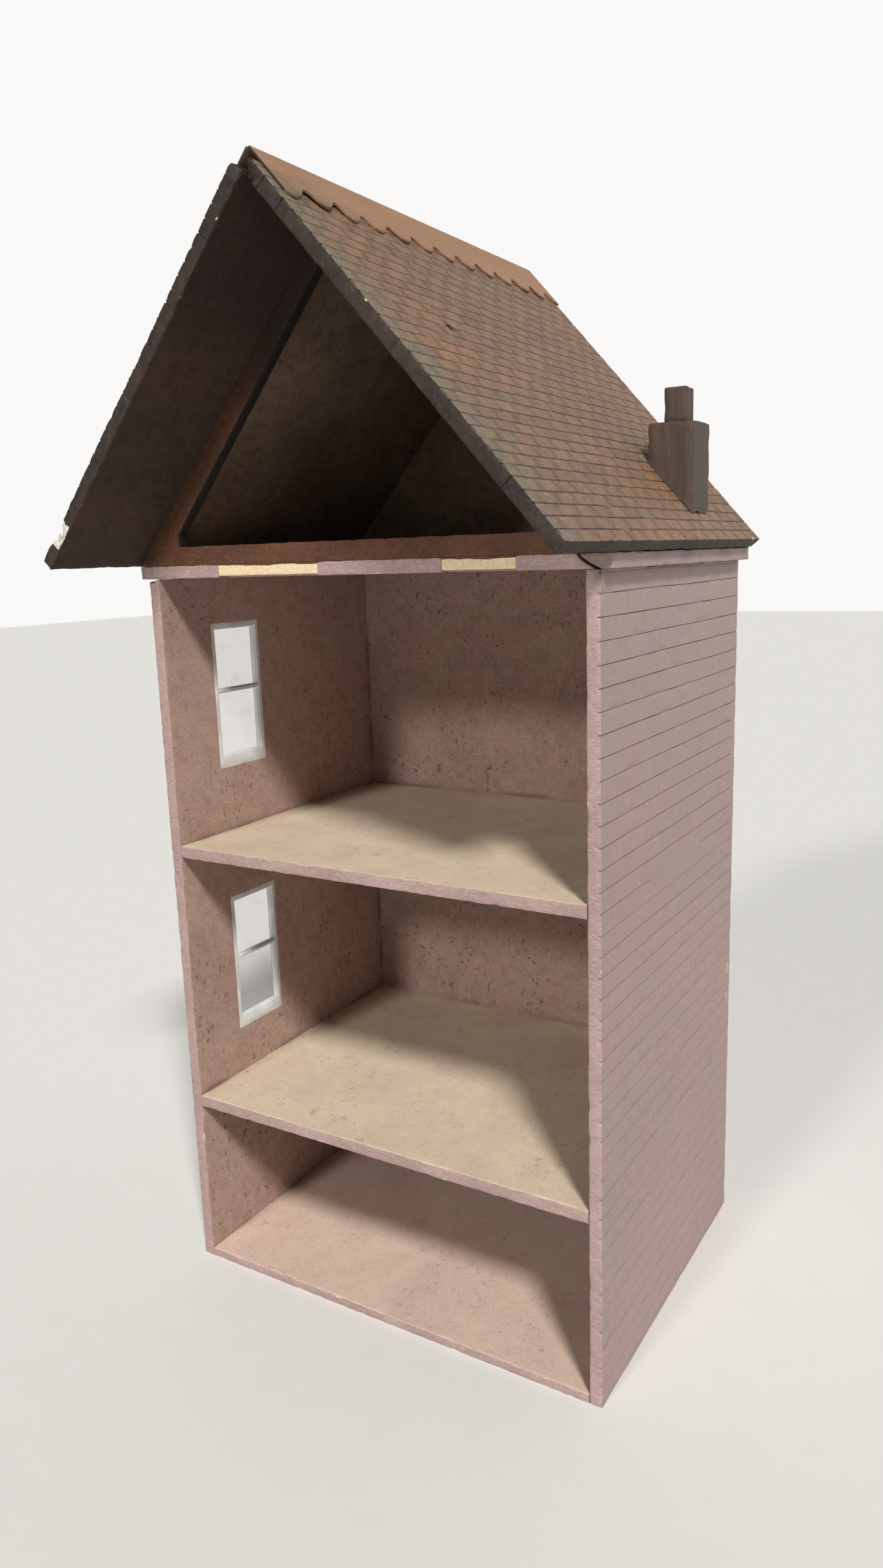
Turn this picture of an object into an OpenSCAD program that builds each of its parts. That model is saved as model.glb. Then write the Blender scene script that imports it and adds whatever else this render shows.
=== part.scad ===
// Open-fronted three-storey dollhouse with a lift-off gabled roof.
// The boards lock together with tabs and tenons. Millimetres, +Z up, the open side faces -Y.
// The origin is on the surface it stands on, under the middle of the whole outline.

/* [Boards] */
// Thickness of the walls, shelves, gables and roof boards
board = 6; // [5:0.5:8]
// Thickness of the bottom board
floor_t = 4.5; // [3:0.5:6]
// Gap left at each end of the floor and shelves
end_gap = 0.3; // [0.1:0.1:0.6]

/* [House body] */
// Width over both side walls
body_w = 235; // [215:1:260]
// Depth from the open front to the back
body_d = 179; // [165:1:205]
// Height of the walls
body_h = 365; // [355:1:400]
// Height of the lower shelf's top face
lower_shelf_z = 95; // [85:1:105]
// Height of the upper shelf's top face
upper_shelf_z = 232; // [220:1:240]
// Drop of the left wall's planed top, at its outer face
top_bevel = 1.5; // [0.5:0.1:2.5]

/* [Joints] */
// Length of every tenon and tab of the walls and shelves
tab_len = 70; // [40:1:72]
// From the open front to the shelf tenons
tenon_y = 54; // [40:1:70]
// Bottom of the back wall's lower tabs
low_tab_z = 79; // [10:1:90]
// Bottom of the back wall's upper tabs
high_tab_z = 220; // [180:1:260]
// Clearance at each end of a tenon or tab
tab_gap = 0.15; // [0.05:0.05:0.3]

/* [Siding] */
// Height of one scored siding board
siding_pitch = 9.08; // [7:0.02:14]
// Depth of the score lines
siding_cut = 0.45; // [0.2:0.05:0.8]
// Width of the score lines at the surface
siding_line = 0.7; // [0.4:0.1:1.2]

/* [Windows] */
// Width of a window frame
window_w = 36.5; // [30:0.5:44]
// Height of a window frame
window_h = 76; // [68:1:84]
// Depth of a window frame
window_t = 3; // [2:0.5:4]
// From the open front to the windows
window_y = 33.8; // [20:0.2:60]
// Sill of the middle window above the lower shelf
middle_sill = 24.3; // [15:0.1:35]
// Sill of the upper window above the upper shelf
upper_sill = 33.5; // [20:0.5:42]
// Width of the window's stiles
stile_w = 3.1; // [2:0.1:4]
// Height of the window's top rail
top_rail = 3.4; // [2:0.1:5]
// Height of the window's bottom rail
bottom_rail = 7; // [4:0.5:9]
// Height of the rail between the panes
meeting_rail = 2.5; // [1.5:0.1:4]
// Height of the lower pane
lower_pane = 32.5; // [26:0.5:34]
// Thickness of the clear glazing
glazing_t = 0.8; // [0.5:0.1:1.2]

/* [Roof] */
// Slope of the roof
roof_pitch = 48.5; // [45:0.5:51]
// How far the roof's base board stands out past each side wall
base_overhang = 5; // [3:0.5:8]
// How far the roof boards reach past the base board
eave_reach = 1; // [0.5:0.5:4]
// How far the roof boards stand out past the open front
front_overhang = 53; // [20:1:60]
// Height of the front gable's bottom rail
gable_rail = 8.6; // [6:0.2:12]
// Half the width of the front gable's opening
gable_half_open = 96; // [85:1:98]
// Height of the opening's upright ends
gable_upright = 6; // [4:0.5:8]
// Height of the opening's peak above the base board
gable_peak = 127; // [118:1:128]
// Exposed height of one row of tiles
tile_row = 5.88; // [5:0.02:9]
// Depth of the scored tile rows
tile_cut = 0.5; // [0.2:0.1:0.8]
// Width of the scored lines at the surface
tile_line = 0.8; // [0.4:0.1:1.2]

/* [Ridge strips] */
// Thickness of the scalloped ridge strips
strip_t = 1; // [0.6:0.1:2]
// Reach of a strip down the slope, at the middle of its wave
strip_w = 23; // [16:0.5:30]
// Height of the wave from its middle
wave_h = 3.4; // [1:0.2:5]
// Length of one wave
wave_len = 18.6; // [12:0.2:26]
// From the front of the roof to the strips
strip_setback = 5; // [0:0.5:10]

/* [Chimney] */
// Width of the stack across the house
stack_w = 21; // [16:1:26]
// Depth of the stack from front to back
stack_d = 24; // [16:1:30]
// Centre of the stack from the middle of the house
stack_x = 107.4; // [95:0.2:108]
// Centre of the stack from the open front
stack_y = 115; // [30:1:150]
// Height of the stack's top above the roof's base board
stack_top = 56.3; // [50:0.1:80]
// Side of the square chimney pot
pot_w = 10.4; // [8:0.2:14]
// Height of the chimney pot
pot_h = 15.2; // [10:0.2:20]

/* [Hidden] */

// The plane of the open front
front_y = (front_overhang - body_d) / 2;
back_y = front_y + body_d;
roof_front_y = front_y - front_overhang;
roof_len = body_d + front_overhang;
// Inner faces of the side walls, and the inner face of the back wall
room_x = body_w / 2 - board;
room_back_y = back_y - board;
room_d = body_d - board;
// Roof: underside of the base board, its top, and the line where the two slopes' undersides meet
base_z = body_h;
deck_z = base_z + board;
base_half = body_w / 2 + base_overhang;
eave_half = base_half + eave_reach;
apex_z = deck_z + eave_half * tan(roof_pitch);
slope_len = eave_half / cos(roof_pitch);
// The slopes' outer faces meet this far up the slope from the boards' upper edges
ridge_run = board * tan(roof_pitch);
// Tabs of the gables, as distances from the middle of the house
gable_tabs = [[-72.7, -15.3], [47.9, 81.9]];
// How far the gable tabs stop short of the base board's underside
tab_short = 0.8;
// The chimney pot stands a little off the middle of the stack
pot_offset = [0.5, -2.1];
// Overlap that keeps cuts clean
cut = 1;
// Straight steps along one wave of a ridge strip
wave_steps = 10;

wall_color = [0.62, 0.54, 0.52];
room_color = [0.80, 0.74, 0.66];
frame_color = [0.80, 0.80, 0.78];
clear_color = [0.85, 0.92, 0.95, 0.5];
tile_color = [0.50, 0.41, 0.35];
ridge_color = [0.62, 0.47, 0.37];
gable_color = [0.37, 0.25, 0.18];
chimney_color = [0.34, 0.28, 0.24];

// A V-shaped score line along +Y, cut down into a face at z = 0
module score_line(length, width, depth) {
    rotate([-90, 0, 0]) linear_extrude(length)
        polygon([[-width, -depth], [width, -depth], [0, depth]]);
}

// Horizontal score lines for a wall face that looks along +X at x = 0, from y = 0 to length
module siding(length) {
    rows = floor((body_h - siding_line) / siding_pitch);
    for (row = [1:rows])
        translate([0, -cut, body_h - row * siding_pitch]) rotate([0, 90, 0])
            score_line(length + 2 * cut, siding_line / 2, siding_cut);
}

// One storey board: the shelf between the walls, with a tenon through each side wall
module shelf(top_z) {
    translate([-room_x + end_gap, front_y, top_z - board])
        cube([2 * (room_x - end_gap), room_d, board]);
    translate([-body_w / 2, front_y + tenon_y, top_z - board])
        cube([body_w, tab_len, board]);
}

// Slots in a side wall, centred on x = 0, for the shelf tenons and the back wall's tabs
module wall_slots() {
    for (top_z = [lower_shelf_z, upper_shelf_z])
        translate([-board, front_y + tenon_y - tab_gap, top_z - board])
            cube([2 * board, tab_len + 2 * tab_gap, board]);
    for (tab_z = [low_tab_z, high_tab_z])
        translate([-board, room_back_y, tab_z - tab_gap])
            cube([2 * board, board + cut, tab_len + 2 * tab_gap]);
}

// A side wall as a plain slotted board, standing on the right, its scored face outward
module side_wall() {
    difference() {
        translate([room_x, front_y, 0]) cube([board, body_d, body_h]);
        translate([body_w / 2 - board / 2, 0, 0]) wall_slots();
        translate([body_w / 2, front_y, 0]) siding(body_d);
    }
}

// The windows' places: bottom of each frame
function sill_z(upper) = upper ? upper_shelf_z + upper_sill : lower_shelf_z + middle_sill;

// The opening of one window through the left wall
module window_cut(upper) {
    translate([-body_w / 2 - cut, front_y + window_y, sill_z(upper)])
        cube([board + 2 * cut, window_w, window_h]);
}

// One window frame, flush with the inside of the left wall
module window_frame(upper) {
    pane_w = window_w - 2 * stile_w;
    upper_pane = window_h - top_rail - bottom_rail - meeting_rail - lower_pane;
    translate([-room_x - window_t, front_y + window_y, sill_z(upper)])
        difference() {
            cube([window_t, window_w, window_h]);
            translate([-cut, stile_w, bottom_rail])
                cube([window_t + 2 * cut, pane_w, lower_pane]);
            translate([-cut, stile_w, bottom_rail + lower_pane + meeting_rail])
                cube([window_t + 2 * cut, pane_w, upper_pane]);
        }
}

// One sheet of glazing, against the outer side of its frame
module window_glazing(upper) {
    translate([-room_x - window_t - glazing_t, front_y + window_y, sill_z(upper)])
        cube([glazing_t, window_w, window_h]);
}

// A right-hand slope's own axes: x runs down the slope from the boards' upper edge,
// y to the back, z out of the roof with 0 at the boards' underside
module on_slope() {
    translate([0, roof_front_y, apex_z]) rotate([0, roof_pitch, 0]) children();
}

// The right-hand roof board with its scored rows of tiles
module roof_panel() {
    rows = floor((slope_len - tile_line) / tile_row);
    on_slope() difference() {
        cube([slope_len, roof_len, board]);
        for (row = [1:rows])
            translate([slope_len - row * tile_row, -cut, board])
                score_line(roof_len + 2 * cut, tile_line / 2, tile_cut);
    }
}

// The right-hand ridge strip, with a wavy lower edge
module ridge_strip() {
    strip_len = roof_len - strip_setback;
    steps = floor(strip_len / wave_len * wave_steps);
    wave = [for (i = [0:steps])
        let (y = strip_len * i / steps) [strip_w + wave_h * sin(360 * y / wave_len), y]];
    on_slope() translate([-ridge_run, strip_setback, board])
        linear_extrude(strip_t) polygon(concat([[0, strip_len], [0, 0]], wave));
}

// A gable's outline, seen from the front, up to the undersides of the slopes
function gable_outline() = [
    [-base_half, deck_z], [base_half, deck_z],
    [base_half, deck_z + eave_reach * tan(roof_pitch)],
    [0, apex_z],
    [-base_half, deck_z + eave_reach * tan(roof_pitch)]];

// The opening of the front gable, with short upright ends
function gable_opening() = [
    [-gable_half_open, deck_z + gable_rail], [gable_half_open, deck_z + gable_rail],
    [gable_half_open, deck_z + gable_rail + gable_upright],
    [0, deck_z + gable_peak],
    [-gable_half_open, deck_z + gable_rail + gable_upright]];

// The tabs under a gable, made wider by grow at each end and reaching down to bottom_z
module gable_tab_shapes(grow, bottom_z) {
    for (tab = gable_tabs)
        translate([tab[0] - grow, bottom_z])
            square([tab[1] - tab[0] + 2 * grow, deck_z + cut - bottom_z]);
}

// A board standing upright across the house, drawn as seen from the front, from y = 0 back
module upright_board() {
    translate([0, board, 0]) rotate([90, 0, 0]) linear_extrude(board) children();
}

module base_floor() {
    color(room_color)
        translate([-room_x + end_gap, front_y, 0])
            cube([2 * (room_x - end_gap), room_d, floor_t]);
}

module lower_shelf() {
    color(room_color) shelf(lower_shelf_z);
}

module upper_shelf() {
    color(room_color) shelf(upper_shelf_z);
}

module left_wall() {
    color(wall_color) difference() {
        mirror([1, 0, 0]) side_wall();
        window_cut(false);
        window_cut(true);
        // The top is planed off at an angle, down towards the outer face
        translate([-room_x, back_y + cut, body_h]) rotate([90, 0, 0])
            linear_extrude(body_d + 2 * cut)
                polygon([[0, 0], [-board - cut, -top_bevel * (board + cut) / board],
                         [-board - cut, cut], [0, cut]]);
    }
}

module right_wall() {
    color(wall_color) side_wall();
}

module back_wall() {
    color(wall_color) difference() {
        union() {
            translate([-room_x, room_back_y, 0]) cube([2 * room_x, board, body_h]);
            for (tab_z = [low_tab_z, high_tab_z])
                translate([-body_w / 2, room_back_y, tab_z]) cube([body_w, board, tab_len]);
        }
        translate([body_w / 2, back_y, 0]) rotate([0, 0, 90]) siding(body_w);
    }
}

module middle_window_frame() {
    color(frame_color) window_frame(false);
}

module middle_window_glazing() {
    color(clear_color) window_glazing(false);
}

module upper_window_frame() {
    color(frame_color) window_frame(true);
}

module upper_window_glazing() {
    color(clear_color) window_glazing(true);
}

module roof_base() {
    color(wall_color) difference() {
        translate([-base_half, front_y, base_z]) cube([2 * base_half, body_d, board]);
        translate([0, front_y, 0]) notches();
        translate([0, back_y - board, 0]) notches();
    }
    // Notches for the gable tabs, open at the board's edge
    module notches() {
        translate([0, board, 0]) rotate([90, 0, 0]) linear_extrude(board)
            gable_tab_shapes(tab_gap, base_z - cut);
    }
}

module front_gable() {
    color(gable_color) translate([0, front_y, 0]) upright_board() {
        difference() {
            polygon(gable_outline());
            polygon(gable_opening());
        }
        gable_tab_shapes(0, base_z + tab_short);
    }
}

module back_gable() {
    color(gable_color) translate([0, back_y - board, 0]) upright_board() {
        polygon(gable_outline());
        gable_tab_shapes(0, base_z + tab_short);
    }
}

module left_roof_panel() {
    color(tile_color) mirror([1, 0, 0]) roof_panel();
}

module right_roof_panel() {
    color(tile_color) roof_panel();
}

module left_ridge_strip() {
    color(ridge_color) mirror([1, 0, 0]) ridge_strip();
}

module right_ridge_strip() {
    color(ridge_color) ridge_strip();
}

// The stack's foot is cut to the slope, so it stands on the right-hand roof board
module chimney_stack() {
    color(chimney_color) difference() {
        translate([stack_x - stack_w / 2, front_y + stack_y - stack_d / 2, deck_z])
            cube([stack_w, stack_d, stack_top]);
        on_slope() translate([0, -cut, -slope_len])
            cube([2 * slope_len, roof_len + 2 * cut, slope_len + board]);
    }
}

module chimney_pot() {
    color(chimney_color)
        translate([stack_x + pot_offset[0] - pot_w / 2,
                   front_y + stack_y + pot_offset[1] - pot_w / 2, deck_z + stack_top])
            cube([pot_w, pot_w, pot_h]);
}

base_floor();
lower_shelf();
upper_shelf();
left_wall();
right_wall();
back_wall();
middle_window_frame();
middle_window_glazing();
upper_window_frame();
upper_window_glazing();
roof_base();
front_gable();
back_gable();
left_roof_panel();
right_roof_panel();
left_ridge_strip();
right_ridge_strip();
chimney_stack();
chimney_pot();
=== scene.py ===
"""The looks of an open-fronted wooden dollhouse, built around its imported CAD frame.

Shapes are worked out in millimetres in the frame's own axes: +Z up, the open front towards -Y.
A roof slope has its own axes: s runs down the slope from the boards' upper edge, y to the back,
and h out of the roof, with 0 at the boards' underside.
"""
import math

import bmesh
import bpy
import numpy as np
from mathutils import Matrix, Vector


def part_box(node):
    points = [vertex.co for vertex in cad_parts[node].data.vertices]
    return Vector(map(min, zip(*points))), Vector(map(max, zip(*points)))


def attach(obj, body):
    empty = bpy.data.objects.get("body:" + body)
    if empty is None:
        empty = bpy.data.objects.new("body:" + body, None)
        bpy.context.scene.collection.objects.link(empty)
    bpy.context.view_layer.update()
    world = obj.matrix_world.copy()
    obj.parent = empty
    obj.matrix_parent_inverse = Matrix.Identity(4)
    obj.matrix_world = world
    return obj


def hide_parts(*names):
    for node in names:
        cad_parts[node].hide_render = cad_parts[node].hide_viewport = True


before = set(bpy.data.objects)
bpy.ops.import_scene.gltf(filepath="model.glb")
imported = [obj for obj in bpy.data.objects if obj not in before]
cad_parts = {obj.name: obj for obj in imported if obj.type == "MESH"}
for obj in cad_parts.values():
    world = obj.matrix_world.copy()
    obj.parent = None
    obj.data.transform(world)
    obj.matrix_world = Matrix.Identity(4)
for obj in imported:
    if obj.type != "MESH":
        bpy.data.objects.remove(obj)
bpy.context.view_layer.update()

MM = 0.001
TURN = 2 * math.pi


def span(node):
    """Lowest and highest corner of a CAD node, in millimetres."""
    low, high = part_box(node)
    return np.array(low) / MM, np.array(high) / MM


# Sizes that the frame's boxes give
wall_low, wall_high = span("right_wall")
base_low, base_high = span("roof_base")
panel_low, panel_high = span("right_roof_panel")
strip_high = span("right_ridge_strip")[1]
board = wall_high[0] - wall_low[0]
room_x = wall_low[0]
outer_x = wall_high[0]
front_y = wall_low[1]
back_y = wall_high[1]
room_back_y = back_y - board
wall_top = wall_high[2]
deck_z = base_high[2]
base_half = base_high[0]
roof_front_y = panel_low[1]

# Joints of the carcass boards and of the gables
TENON_Y = (front_y + 54, front_y + 124)
TAB_Z = ((79, 149), (220, 290))
GABLE_TABS = ((-72.7, -15.3), (47.9, 81.9))
TAB_GAP = 0.15
END_GAP = 0.3

# Roof slopes
PITCH = math.radians(48.5)
eave_half = panel_high[0] - board * math.sin(PITCH)
apex_z = panel_high[2] - board * math.cos(PITCH)
slope_len = eave_half / math.cos(PITCH)
ridge_run = board * math.tan(PITCH)
strip_t = (strip_high[2] - apex_z - ridge_run * math.sin(PITCH)) / math.cos(PITCH) - board

# Scored siding and tiles
SIDING_PITCH = 9.08
SIDING_LINE = 0.7
SIDING_CUT = 0.45
TILE_ROW = 5.88
TILE_WIDTH = 15
TILE_LINE = 0.8
TILE_JOINT = 0.55
TILE_CUT = 0.55

# Camera
CAMERA_AT = (0.2829, -0.4525, 0.3715)
CAMERA_YAW = math.radians(31.456)
CAMERA_PITCH = math.radians(-11.723)
CAMERA_ROLL = math.radians(-1.862)
CAMERA_LENS = 25.18


# ---------------------------------------------------------------- camera, lights and floor

def make_camera():
    """The camera, aimed by its yaw from +Y, its pitch above the horizon and its roll."""
    ahead = Vector((-math.sin(CAMERA_YAW) * math.cos(CAMERA_PITCH),
                    math.cos(CAMERA_YAW) * math.cos(CAMERA_PITCH), math.sin(CAMERA_PITCH)))
    level = Vector((math.cos(CAMERA_YAW), math.sin(CAMERA_YAW), 0))
    upright = level.cross(ahead)
    right = math.cos(CAMERA_ROLL) * level + math.sin(CAMERA_ROLL) * upright
    up = -math.sin(CAMERA_ROLL) * level + math.cos(CAMERA_ROLL) * upright
    data = bpy.data.cameras.new("camera")
    data.lens = CAMERA_LENS
    data.sensor_width = 36
    data.clip_start = 0.01
    camera = bpy.data.objects.new("camera", data)
    camera.matrix_world = Matrix.Translation(CAMERA_AT) @ Matrix((right, up, -ahead)).transposed().to_4x4()
    bpy.context.scene.collection.objects.link(camera)
    bpy.context.scene.camera = camera


def sun(name, direction, strength, softness, color):
    """A distant light. direction points from the house to the light."""
    data = bpy.data.lights.new(name, "SUN")
    data.energy = strength
    data.angle = math.radians(softness)
    data.color = color
    light = bpy.data.objects.new(name, data)
    light.rotation_mode = "QUATERNION"
    light.rotation_quaternion = (-Vector(direction)).to_track_quat("-Z", "Y")
    bpy.context.scene.collection.objects.link(light)


def make_stage():
    """Plain pale floor, surroundings that are pale behind the house and dim elsewhere, and two soft lights."""
    scene = bpy.context.scene
    scene.view_settings.view_transform = "Standard"
    world = bpy.data.worlds.new("surroundings")
    world.use_nodes = True
    tree = world.node_tree
    split = tree.nodes.new("ShaderNodeSeparateXYZ")
    tree.links.new(tree.nodes.new("ShaderNodeTexCoord").outputs["Generated"], split.inputs[0])

    def fade(axis, start, end, low, high):
        step = tree.nodes.new("ShaderNodeMapRange")
        step.interpolation_type = "SMOOTHSTEP"
        for name, value in zip(("From Min", "From Max", "To Min", "To Max"), (start, end, low, high)):
            step.inputs[name].default_value = value
        tree.links.new(split.outputs[axis], step.inputs["Value"])
        return step.outputs["Result"]

    blend = tree.nodes.new("ShaderNodeMix")
    tree.links.new(fade("Y", -0.05, 0.4, 0, 1), blend.inputs["Factor"])
    tree.links.new(fade("Z", 0.0, 0.34, 0.37, 0.06), blend.inputs["A"])
    tree.links.new(fade("Z", 0.45, 0.7, 0.95, 0.1), blend.inputs["B"])
    seen = tree.nodes.new("ShaderNodeMix")
    tree.links.new(tree.nodes.new("ShaderNodeLightPath").outputs["Is Camera Ray"], seen.inputs["Factor"])
    tree.links.new(blend.outputs["Result"], seen.inputs["A"])
    seen.inputs["B"].default_value = 0.95
    tree.nodes["Background"].inputs["Color"].default_value = (1, 0.99, 0.98, 1)
    tree.links.new(seen.outputs["Result"], tree.nodes["Background"].inputs["Strength"])
    scene.world = world
    mesh = bpy.data.meshes.new("floor")
    reach = 6
    mesh.from_pydata([(-reach, -reach, 0), (reach, -reach, 0), (reach, reach, 0), (-reach, reach, 0)],
                     [], [(0, 1, 2, 3)])
    paper = Shader("floor_paper")
    grain = paper.noise(60, detail=3)
    paper.put("Base Color", paper.mix(grain, (0.72, 0.72, 0.71), (0.75, 0.75, 0.74)))
    paper.shader.inputs["Roughness"].default_value = 0.9
    mesh.materials.append(paper.material)
    floor = bpy.data.objects.new("floor", mesh)
    scene.collection.objects.link(floor)
    sun("key", (0.5, -0.5, 0.72), 3.0, 8, (1, 0.97, 0.92))
    sun("front", (-0.1, -0.89, 0.45), 1.05, 7, (1, 0.97, 0.94))


# ---------------------------------------------------------------- shading

class Shader:
    """A material, with short ways to add nodes to it and to link them."""

    def __init__(self, name):
        self.material = bpy.data.materials.new(name)
        self.material.use_nodes = True
        self.tree = self.material.node_tree
        self.tree.nodes.clear()
        self.shader = self.tree.nodes.new("ShaderNodeBsdfPrincipled")
        output = self.tree.nodes.new("ShaderNodeOutputMaterial")
        self.tree.links.new(self.shader.outputs["BSDF"], output.inputs["Surface"])
        self.place = self.tree.nodes.new("ShaderNodeTexCoord").outputs["Object"]

    def feed(self, socket, value):
        if isinstance(value, bpy.types.NodeSocket):
            self.tree.links.new(value, socket)
        elif isinstance(value, tuple) and len(value) == 3 and socket.type == "RGBA":
            socket.default_value = (*value, 1)
        else:
            socket.default_value = value

    def put(self, name, value):
        self.feed(self.shader.inputs[name], value)

    def noise(self, scale, detail=4, stretch=(1, 1, 1), roughness=0.55, distortion=0.0):
        """Noise with about scale features in a metre, from 0 to 1, stretched along the axes."""
        spread = self.tree.nodes.new("ShaderNodeMapping")
        spread.inputs["Scale"].default_value = [scale / x for x in stretch]
        self.feed(spread.inputs["Vector"], self.place)
        texture = self.tree.nodes.new("ShaderNodeTexNoise")
        self.feed(texture.inputs["Vector"], spread.outputs["Vector"])
        texture.inputs["Scale"].default_value = 1
        texture.inputs["Detail"].default_value = detail
        texture.inputs["Roughness"].default_value = roughness
        texture.inputs["Distortion"].default_value = distortion
        return texture.outputs["Fac"]

    def cells(self, scale, stretch=(1, 1, 1)):
        """Distance from scattered points, about scale of them in a metre."""
        spread = self.tree.nodes.new("ShaderNodeMapping")
        spread.inputs["Scale"].default_value = [scale / x for x in stretch]
        self.feed(spread.inputs["Vector"], self.place)
        texture = self.tree.nodes.new("ShaderNodeTexVoronoi")
        self.feed(texture.inputs["Vector"], spread.outputs["Vector"])
        texture.inputs["Scale"].default_value = 1
        return texture.outputs["Distance"]

    def band(self, value, low, high):
        """0 below low, 1 above high, smooth between them. high may be the smaller one."""
        node = self.tree.nodes.new("ShaderNodeMapRange")
        node.interpolation_type = "SMOOTHSTEP"
        flip = high < low
        self.feed(node.inputs["Value"], value)
        node.inputs["From Min"].default_value = min(low, high)
        node.inputs["From Max"].default_value = max(low, high)
        node.inputs["To Min"].default_value = 1 if flip else 0
        node.inputs["To Max"].default_value = 0 if flip else 1
        return node.outputs["Result"]

    def math(self, operation, a, b=0.0):
        node = self.tree.nodes.new("ShaderNodeMath")
        node.operation = operation
        self.feed(node.inputs[0], a)
        self.feed(node.inputs[1], b)
        return node.outputs[0]

    def mix(self, share, a, b):
        node = self.tree.nodes.new("ShaderNodeMix")
        node.data_type = "RGBA"
        self.feed(node.inputs["Factor"], share)
        self.feed(node.inputs[6], a)
        self.feed(node.inputs[7], b)
        return node.outputs[2]

    def value(self, name):
        """A number stored on the mesh's points."""
        node = self.tree.nodes.new("ShaderNodeAttribute")
        node.attribute_name = name
        return node.outputs["Fac"]

    def height(self, axis):
        """The place along one axis, in millimetres."""
        node = self.tree.nodes.new("ShaderNodeSeparateXYZ")
        self.feed(node.inputs[0], self.place)
        return self.math("DIVIDE", node.outputs[axis], MM)

    def bump(self, *layers):
        """Stacks (height, strength, depth in millimetres) layers onto the shader's normal."""
        normal = None
        for height, strength, depth in layers:
            node = self.tree.nodes.new("ShaderNodeBump")
            node.inputs["Strength"].default_value = strength
            node.inputs["Distance"].default_value = depth * MM
            self.feed(node.inputs["Height"], height)
            if normal is not None:
                self.feed(node.inputs["Normal"], normal)
            normal = node.outputs["Normal"]
        self.put("Normal", normal)


def srgb(red, green, blue):
    """A colour given as 0-255 screen values, as the linear values that shaders take."""
    return tuple(c / 12.92 if c <= 0.04045 else ((c + 0.055) / 1.055) ** 2.4
                 for c in (red / 255, green / 255, blue / 255))


RAW_LIGHT = srgb(234, 213, 178)
RAW_DARK = srgb(218, 193, 154)


def raw_fibre(shader, light=RAW_LIGHT, dark=RAW_DARK):
    """The colour of bare fibreboard."""
    return shader.mix(shader.band(shader.noise(700, detail=6), 0.35, 0.65), dark, light)


def bare_where_worn(shader, color, amount=1.0, light=RAW_LIGHT, dark=RAW_DARK):
    """Bare board shows through the paint where the mesh's bare value is high, in a ragged outline."""
    ragged = shader.math("ADD", shader.value("bare"), shader.math("MULTIPLY", shader.noise(900, detail=5), 0.6))
    share = shader.math("MULTIPLY", shader.band(ragged, 0.72, 0.86), amount)
    return shader.mix(share, color, raw_fibre(shader, light, dark))


def siding_paint():
    """Dusty mauve paint, a little blotchy, darker in the score lines."""
    s = Shader("siding_paint")
    blotch = s.band(s.noise(14, detail=5, stretch=(1, 1.6, 1)), 0.3, 0.7)
    color = s.mix(blotch, srgb(153, 130, 127), srgb(158, 135, 129))
    violet = s.band(s.noise(7, detail=3), 0.45, 0.75)
    color = s.mix(s.math("MULTIPLY", violet, 0.4), color, srgb(149, 127, 132))
    fine = s.band(s.noise(420, detail=6), 0.3, 0.75)
    color = s.mix(s.math("MULTIPLY", fine, 0.22), color, srgb(190, 168, 160))
    specks = s.band(s.noise(260, detail=2), 0.70, 0.76)
    color = s.mix(s.math("MULTIPLY", specks, 0.25), color, srgb(122, 98, 96))
    # Darker in the score lines and smears, and as painted shade in the base board's crack and the wall's split.
    color = s.mix(s.math("MULTIPLY", s.value("dirt_and_shade"), 0.75), color, srgb(88, 62, 56))
    s.put("Base Color", bare_where_worn(s, color, 0.8))
    s.put("Roughness", s.math("ADD", s.math("MULTIPLY", s.noise(90), 0.25), 0.48))
    s.bump((s.noise(260, detail=3), 0.25, 0.25), (s.noise(1500, detail=4), 0.35, 0.08))
    return s.material


def edge_paint():
    """Pinker mauve paint over sawn edges, drawn out in short ridges across the edge."""
    s = Shader("edge_paint")
    blotch = s.band(s.noise(30, detail=5), 0.35, 0.7)
    color = s.mix(blotch, srgb(160, 134, 130), srgb(174, 148, 143))
    ridges = s.noise(1700, detail=4, stretch=(3.5, 3.5, 1), distortion=0.4)
    color = s.mix(s.math("MULTIPLY", s.band(ridges, 0.50, 0.68), 0.36), color, srgb(208, 188, 181))
    color = s.mix(s.math("MULTIPLY", s.band(ridges, 0.44, 0.30), 0.42), color, srgb(120, 94, 92))
    # Darker at the score lines' ends and smears, and as painted shade in the base board's crack, the painted shadow
    # beside it and the wall's split.
    color = s.mix(s.math("MULTIPLY", s.value("dirt_and_shade"), 0.95), color, srgb(58, 41, 36))
    s.put("Base Color", bare_where_worn(s, color, 0.6))
    s.put("Roughness", s.math("ADD", s.math("MULTIPLY", s.noise(300), 0.2), 0.5))
    s.bump((ridges, 0.55, 0.3), (s.noise(2200, detail=3), 0.4, 0.08))
    return s.material


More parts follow.
